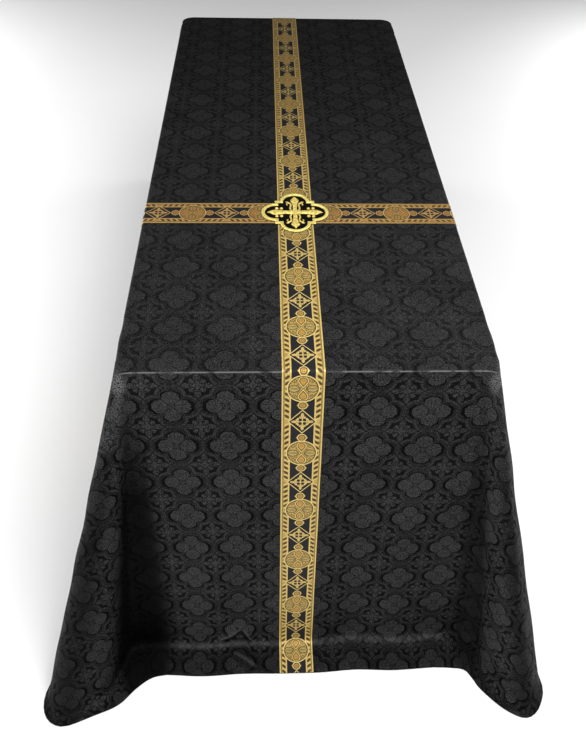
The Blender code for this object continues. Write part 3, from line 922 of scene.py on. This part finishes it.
def stitch_material(name, low, high):
    """Satin stitch in gold thread, laid across each shape."""
    material, tree, shader = new_material(name)
    u, v, uv = uv_values(tree)
    thread = (u * 5200.0 + v * 900.0).sin() * 0.5 + 0.5
    tone = noise(tree, uv, 150.0, 3.0)
    colour = mixed(tree, low, high, (thread * 0.30 + (tone - 0.5) * 3.0 + 0.4).max(0.0))
    paint(tree, shader, colour)
    shader.inputs["Metallic"].default_value = 0.25
    shader.inputs["Roughness"].default_value = 0.42
    bump(tree, shader, thread + tone * 0.6, 0.0003, 0.6)
    return material


def velvet_material():
    material, tree, shader = new_material("emblem_black")
    tone = object_noise(tree, 700.0, 2.0)
    colour = mixed(tree, (0.0010, 0.0010, 0.0012), (0.0050, 0.0049, 0.0052), tone)
    paint(tree, shader, colour)
    shader.inputs["Roughness"].default_value = 0.85
    shader.inputs["Specular IOR Level"].default_value = 0.05
    bump(tree, shader, tone, 0.0003, 0.5)
    return material


def wood_material():
    material, tree, shader = new_material("table_wood")
    grain = object_noise(tree, 14.0, 5.0, (6.0, 0.6, 6.0))
    colour = mixed(tree, (0.26, 0.155, 0.080), (0.47, 0.31, 0.175), grain)
    paint(tree, shader, colour)
    tree.links.new((grain * 0.2 + 0.42).socket, shader.inputs["Roughness"])
    bump(tree, shader, grain, 0.0008, 0.4)
    return material


damask = damask_material()
galloon = galloon_material(
    "galloon", (0.390, 0.255, 0.062), (0.760, 0.600, 0.230),
    (0.500, 0.260, 0.045), (0.050, 0.030, 0.008))
# The cross bands get a copy of the galloon painted darker and more copper, as painted
# reflection on their metal thread.
galloon_side = galloon_material(
    "galloon_side", (0.330, 0.190, 0.052), (0.640, 0.430, 0.165),
    (0.480, 0.190, 0.036), (0.050, 0.026, 0.008))
rim_gold = stitch_material("rim_gold", (0.560, 0.420, 0.060), (0.820, 0.730, 0.260))
cross_gold = stitch_material("cross_gold", (0.480, 0.290, 0.020), (0.860, 0.740, 0.240))
velvet = velvet_material()
wood = wood_material()

# The cloth

columns, rows = grid.shape[:2]


def cloth_mesh():
    """Corners, flat places and faces of the falls and of the flat top."""
    verts = list(grid.reshape(-1, 3))
    uvs = list(flat.reshape(-1, 2))
    faces = []
    for i in range(columns):
        k = (i + 1) % columns
        for j in range(rows - 1):
            faces.append((i * rows + j, i * rows + j + 1,
                          k * rows + j + 1, k * rows + j))
    # the flat top, ring by ring towards its middle line
    half_x = HALF_WIDTH - EDGE_BEND
    half_y = HALF_LENGTH - EDGE_BEND
    previous = [i * rows for i in range(columns)]
    for ring in range(1, TOP_RINGS + 1):
        share = ring / TOP_RINGS * INNERMOST
        current = []
        for p in grid[:, 0]:
            x = p[0] * (1.0 - share)
            y = (p[1] - SHIFT_Y) * (half_y - share * half_x) / half_y
            current.append(len(verts))
            verts.append((x, y + SHIFT_Y, CLOTH_TOP))
            uvs.append((x, y))
        for i in range(columns):
            k = (i + 1) % columns
            faces.append((previous[i], previous[k], current[k], current[i]))
        previous = current
    faces.append(tuple(previous))
    return verts, uvs, faces


def split_edges(obj, degrees):
    """Sharp edges wherever faces meet at more than the angle."""
    edges = obj.modifiers.new("edges", "EDGE_SPLIT")
    edges.split_angle = math.radians(degrees)


verts, uvs, faces = cloth_mesh()
pall = mesh_piece("pall_cloth", verts, faces, uvs, damask)
thick = pall.modifiers.new("thickness", "SOLIDIFY")
thick.thickness = SHEET
thick.offset = -1.0
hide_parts("pall")

# The bands


def band_piece(name, chain, material):
    """A band along rows of places: point, normal, across, along."""
    verts, uvs, faces = [], [], []
    wide = len(chain[0])
    for lift in (BAND_GAP, BAND_GAP + BAND_THICKNESS):
        for row in chain:
            for point, normal, across, along in row:
                verts.append(point + normal * lift)
                uvs.append((across, along))
    layer = len(chain) * wide
    for r in range(len(chain) - 1):
        for c in range(wide - 1):
            a, b = r * wide + c, r * wide + c + 1
            d, e = a + wide, b + wide
            faces.append((a, d, e, b))
            faces.append((layer + a, layer + b, layer + e, layer + d))
    outline = [r * wide for r in range(len(chain))]
    outline += [(len(chain) - 1) * wide + c for c in range(1, wide)]
    outline += [r * wide + wide - 1 for r in range(len(chain) - 2, -1, -1)]
    outline += list(range(wide - 2, 0, -1))
    for k, here in enumerate(outline):
        there = outline[(k + 1) % len(outline)]
        faces.append((here, layer + here, layer + there, there))
    obj = mesh_piece(name, verts, faces, uvs, material)
    split_edges(obj, 50.0)
    return obj


def fall_chain(first, last, centre, axis, sign):
    """Rows of a band down one fall, from the top edge to the hem."""
    chain = []
    for j in range(rows):
        row = []
        for i in range(first, last + 1):
            share = (i - first) / (last - first)
            across = (share - 0.5) * BAND_WIDTH
            middle = (flat[first, j, axis] + flat[last, j, axis]) / 2.0
            point = grid[i, j]
            if j == rows - 1:
                point = grid[i, j - 1] * HEM_INSET + grid[i, j] * (1.0 - HEM_INSET)
            row.append((point, normals[i, j], across * sign, middle - centre))
        chain.append(row)
    return chain


def spread_row(row, wide):
    """A row across a band with that many places."""
    spots = []
    for c in range(wide):
        place = c / (wide - 1) * (len(row) - 1)
        low = min(int(place), len(row) - 2)
        share = place - low
        spots.append(tuple((1 - share) * np.asarray(x) + share * np.asarray(y)
                           for x, y in zip(row[low], row[low + 1])))
    return spots


front_chain = fall_chain(*marks["front"], CROSSING_Y, 1, 1.0)
back_chain = [spread_row(row[::-1], len(front_chain[0]))
              for row in fall_chain(*marks["back"], CROSSING_Y, 1, -1.0)]
band_long = band_piece("band_long_cloth", front_chain[::-1] + back_chain, galloon)
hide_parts("band_long")

up = np.array([0.0, 0.0, 1.0])
for side, sign, inner_x in (("right", 1.0, BAND_RIGHT + BAND_GAP),
                            ("left", -1.0, BAND_LEFT - BAND_GAP)):
    chain = fall_chain(*marks[side], CROSSING_X, 0, sign)
    inner = [(np.array([inner_x, point[1], CLOTH_TOP]), up, across,
              inner_x - CROSSING_X) for point, _, across, _ in chain[0]]
    name = "band_cross_" + side
    band = band_piece(name + "_cloth", [inner] + chain, galloon_side)
    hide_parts(name)

# The emblem

EMBLEM_BASE = CLOTH_TOP + 2.0 * BAND_GAP + BAND_THICKNESS
EMBLEM_Y = CROSSING_Y + SHIFT_Y
LOBE_RADIUS = 0.0373
LOBE_CENTRE = 0.0454
SQUARE_HALF = 0.0494
SEWN_SCALE = 0.97
OUTLINE_STEPS = 360
RIM_WIDTH = 0.0085
RIM_BASE = 0.0013
RIM_EDGE = 0.0006
RIM_HEIGHT = 0.0030
RIM_STEPS = 12


def quatrefoil(inset):
    """Barbed quatrefoil: four round lobes and a square between them."""
    points = []
    lobe = LOBE_RADIUS - inset
    half = SQUARE_HALF - inset
    for k in range(OUTLINE_STEPS):
        turn = 2.0 * math.pi * k / OUTLINE_STEPS
        dx, dy = math.cos(turn), math.sin(turn)
        reach = half / max(abs(dx), abs(dy))
        for quarter in range(4):
            cx = LOBE_CENTRE * math.cos(quarter * math.pi / 2.0)
            cy = LOBE_CENTRE * math.sin(quarter * math.pi / 2.0)
            toward = cx * dx + cy * dy
            inside = lobe ** 2 - (cx * cx + cy * cy - toward ** 2)
            if inside > 0.0 and toward > 0.0:
                reach = max(reach, toward + math.sqrt(inside))
        points.append((dx * reach, dy * reach))
    return points


def emblem_rings(name, steps, material, closed):
    """A piece of rings round the quatrefoil: inset and height of each."""
    verts, uvs, faces = [], [], []
    for inset, height in steps:
        gone = 0.0
        before = None
        for x, y in quatrefoil(inset):
            if before:
                gone += math.hypot(x - before[0], y - before[1])
            before = (x, y)
            verts.append((x + CROSSING_X, y + EMBLEM_Y, EMBLEM_BASE + height))
            uvs.append((gone, inset))
    count = OUTLINE_STEPS
    last = (len(steps) - 1) * count
    rings = [(r * count, (r + 1) * count) for r in range(len(steps) - 1)]
    if not closed:
        rings.append((last, 0))
    for one, two in rings:
        for k in range(count):
            n = (k + 1) % count
            faces.append((one + k, one + n, two + n, two + k))
    if closed:
        faces.append(tuple(range(last, last + count)))
        faces.append(tuple(range(count))[::-1])
    return mesh_piece(name, verts, faces, uvs, material)


ground = emblem_rings("emblem_patch", [
    (0.0, 0.0), (0.0, 0.0009), (0.0004, 0.0010)], velvet, True)
split_edges(ground, 40.0)
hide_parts("emblem_ground")

rim_steps = [(0.0, RIM_BASE)]
for k in range(RIM_STEPS + 1):
    share = k / RIM_STEPS
    lift = math.sqrt(max(0.0, 1.0 - (2.0 * share - 1.0) ** 2))
    rim_steps.append((share * RIM_WIDTH, RIM_BASE + RIM_EDGE + RIM_HEIGHT * lift))
rim_steps.append((RIM_WIDTH, RIM_BASE))
rim = emblem_rings("emblem_border", rim_steps, rim_gold, False)
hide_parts("emblem_rim")

# The cross, shape by shape, from the emblem's middle.
# across, along, half_width
LONG_ARM = [
    (0.0, 0.0, 0.0080), (0.0, 0.0160, 0.0068), (0.0, 0.0290, 0.0074),
    (0.0, 0.0390, 0.0092), (0.0, 0.0460, 0.0112), (0.0, 0.0520, 0.0112),
    (0.0, 0.0590, 0.0072), (0.0, 0.0650, 0.0036), (0.0, 0.0715, 0.0003),
]
TALL_ARM = [
    (0.0, 0.0, 0.0075), (0.0, 0.0120, 0.0056), (0.0, 0.0260, 0.0054),
    (0.0, 0.0380, 0.0066), (0.0, 0.0460, 0.0090), (0.0, 0.0530, 0.0112),
    (0.0, 0.0580, 0.0088), (0.0, 0.0650, 0.0040), (0.0, 0.0715, 0.0003),
]
SCROLL = [
    (0.0066, 0.0040, 0.0010), (0.0100, 0.0100, 0.0021), (0.0122, 0.0190, 0.0024),
    (0.0108, 0.0280, 0.0024), (0.0100, 0.0350, 0.0025), (0.0130, 0.0410, 0.0026),
    (0.0185, 0.0410, 0.0022), (0.0205, 0.0350, 0.0016), (0.0180, 0.0310, 0.0006),
]
SCROLL_LEAF = [
    (0.0120, 0.0390, 0.0010), (0.0160, 0.0440, 0.0026), (0.0195, 0.0470, 0.0022),
    (0.0240, 0.0470, 0.0004),
]
# across, along
BEADS = [(0.0168, 0.0345), (0.0180, 0.0465)]
BEAD_RADIUS = 0.0043
BEAD_HEIGHT = 0.0036
BEAD_RINGS = 4
BEAD_SIDES = 16
BEAD_UV_STEP = 0.001
SHAPE_BASE = 0.0013
SHAPE_EDGE = 0.0004
SHAPE_HEIGHT = 0.0034
# A strip at least this half wide has its full height.
FULL_HALF_WIDTH = 0.0045
PATH_STEPS = 4
ARCH_STEPS = 8


def sewn_place(x, y, turn, height):
    """A place on the emblem, turned about its middle."""
    c, s = round(math.cos(turn)), round(math.sin(turn))
    return (x * c - y * s + CROSSING_X, x * s + y * c + EMBLEM_Y,
            EMBLEM_BASE + SHAPE_BASE + height)


def loft(rows_in, turn, mirror, height):
    """A domed strip of stitches along a path, turned about the middle."""
    path = smooth_rows(rows_in, PATH_STEPS) * SEWN_SCALE
    verts, uvs, faces = [], [], []
    gone = 0.0
    for k, (x, y, half) in enumerate(path):
        a, b = path[max(0, k - 1)], path[min(len(path) - 1, k + 1)]
        way = (b - a)[:2]
        way /= np.linalg.norm(way)
        if k:
            gone += math.hypot(x - path[k - 1][0], y - path[k - 1][1])
        for step in range(ARCH_STEPS + 1):
            t = math.pi * step / ARCH_STEPS
            off = half * math.cos(t)
            lift = math.sin(t) * height * min(1.0, half / FULL_HALF_WIDTH)
            verts.append(sewn_place((x + way[1] * off) * mirror, y - way[0] * off,
                                    turn, SHAPE_EDGE + lift))
            uvs.append((gone, off))
    wide = ARCH_STEPS + 1
    for k in range(len(path) - 1):
        for step in range(ARCH_STEPS):
            a = k * wide + step
            face = (a, a + 1, a + wide + 1, a + wide)
            faces.append(face if mirror > 0 else face[::-1])
    return verts, uvs, faces


def bead(x, y, turn):
    """A small dome at a place on the cross."""
    verts, uvs, faces = [], [], []
    for ring in range(BEAD_RINGS + 1):
        rise = math.pi / 2.0 * ring / BEAD_RINGS
        reach = BEAD_RADIUS * math.cos(rise)
        for k in range(BEAD_SIDES):
            a = 2.0 * math.pi * k / BEAD_SIDES
            verts.append(sewn_place(x * SEWN_SCALE + reach * math.cos(a),
                                    y * SEWN_SCALE + reach * math.sin(a),
                                    turn, BEAD_HEIGHT * math.sin(rise)))
            uvs.append((k * BEAD_UV_STEP, ring * BEAD_UV_STEP))
    for ring in range(BEAD_RINGS):
        low, high = ring * BEAD_SIDES, (ring + 1) * BEAD_SIDES
        for k in range(BEAD_SIDES):
            n = (k + 1) % BEAD_SIDES
            faces.append((low + k, low + n, high + n, high + k))
    return verts, uvs, faces


verts, uvs, faces = [], [], []
parts = []
for quarter in (0, 2):
    turn = math.pi / 2.0 * quarter
    parts.append(loft(TALL_ARM, turn, 1, SHAPE_HEIGHT + 0.0006))
    for mirror in (1, -1):
        parts.append(loft(SCROLL, turn, mirror, SHAPE_HEIGHT * 0.8))
        parts.append(loft(SCROLL_LEAF, turn, mirror, SHAPE_HEIGHT * 0.6))
for quarter in (1, 3):
    turn = math.pi / 2.0 * quarter
    parts.append(loft(LONG_ARM, turn, 1, SHAPE_HEIGHT))
    for x, y in BEADS:
        parts.append(bead(x, y, turn))
        parts.append(bead(-x, y, turn))
for v_part, u_part, f_part in parts:
    first = len(verts)
    verts += v_part
    uvs += u_part
    faces += [tuple(first + k for k in face) for face in f_part]
cross = mesh_piece("emblem_sewn_cross", verts, faces, uvs, cross_gold)
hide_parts("emblem_cross")

for name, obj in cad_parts.items():
    if name.startswith(("table", "leg", "rail")):
        obj.data.materials.clear()
        obj.data.materials.append(wood)

# Floor, light and camera

FLOOR_SIZE = 40.0
FLOOR_WHITE = (0.92, 0.92, 0.92)
FLOOR_PALER = (0.9384, 0.9384, 0.9384)
WORLD_STRENGTH = 0.17
# name, place, aim, size, watts
LIGHTS = [
    ("key", (-4.2, -4.4, 1.7), (0.0, -0.9, 0.3), (0.9, 0.9), 270.0),
    ("over_front", (0.5, -1.2, 2.6), (0.1, -0.6, 0.6), (1.0, 1.0), 57.0),
    ("floor_left", (-3.4, 1.3, 0.78), (-1.0, 1.1, 0.0), (3.6, 0.6), 125.0),
    ("floor_right", (3.4, 0.9, 0.78), (1.0, 0.6, 0.0), (4.0, 0.6), 150.0),
]
# The camera, with its focal length as a share of the picture's height.
SENSOR_WIDTH = 36.0
FOCAL_SHARE = 739.2 / 750.0
CAMERA_PLACE = (-0.0852, -1.9040, 1.8621)
CAMERA_FORWARD = (0.0366, 0.6996, -0.7136)
CAMERA_UP = (0.0052, 0.7139, 0.7002)
FARTHEST = 100.0


def floor_material():
    material, tree, shader = new_material("studio_white")
    colour = mixed(tree, FLOOR_WHITE, FLOOR_PALER, object_noise(tree, 3.0, 2.0))
    paint(tree, shader, colour)
    shader.inputs["Roughness"].default_value = 0.9
    return material


bpy.ops.mesh.primitive_plane_add(size=FLOOR_SIZE, location=(0.0, 0.0, 0.0))
floor = bpy.context.object
floor.name = "studio_floor"
floor.data.materials.append(floor_material())

world = bpy.data.worlds.new("studio")
bpy.context.scene.world = world
world.use_nodes = True
sky = world.node_tree.nodes["Background"]
sky.inputs["Color"].default_value = (1.0, 1.0, 1.0, 1.0)
sky.inputs["Strength"].default_value = WORLD_STRENGTH

for name, place, aim, size, watts in LIGHTS:
    data = bpy.data.lights.new(name, "AREA")
    data.shape = "RECTANGLE"
    data.size, data.size_y = size
    data.energy = watts
    light = bpy.data.objects.new(name, data)
    bpy.context.scene.collection.objects.link(light)
    light.location = place
    way = Vector(aim) - Vector(place)
    light.rotation_euler = way.to_track_quat("-Z", "Y").to_euler()
bpy.context.scene.view_settings.view_transform = "Standard"

camera_data = bpy.data.cameras.new("photo_camera")
camera_data.sensor_width = SENSOR_WIDTH
camera_data.lens = FOCAL_SHARE * SENSOR_WIDTH
camera_data.clip_end = FARTHEST
camera = bpy.data.objects.new("photo_camera", camera_data)
bpy.context.scene.collection.objects.link(camera)
forward = Vector(CAMERA_FORWARD).normalized()
right_way = forward.cross(Vector(CAMERA_UP)).normalized()
up_way = right_way.cross(forward)
turn = Matrix((right_way, up_way, -forward)).transposed().to_4x4()
camera.matrix_world = Matrix.Translation(CAMERA_PLACE) @ turn
bpy.context.scene.camera = camera
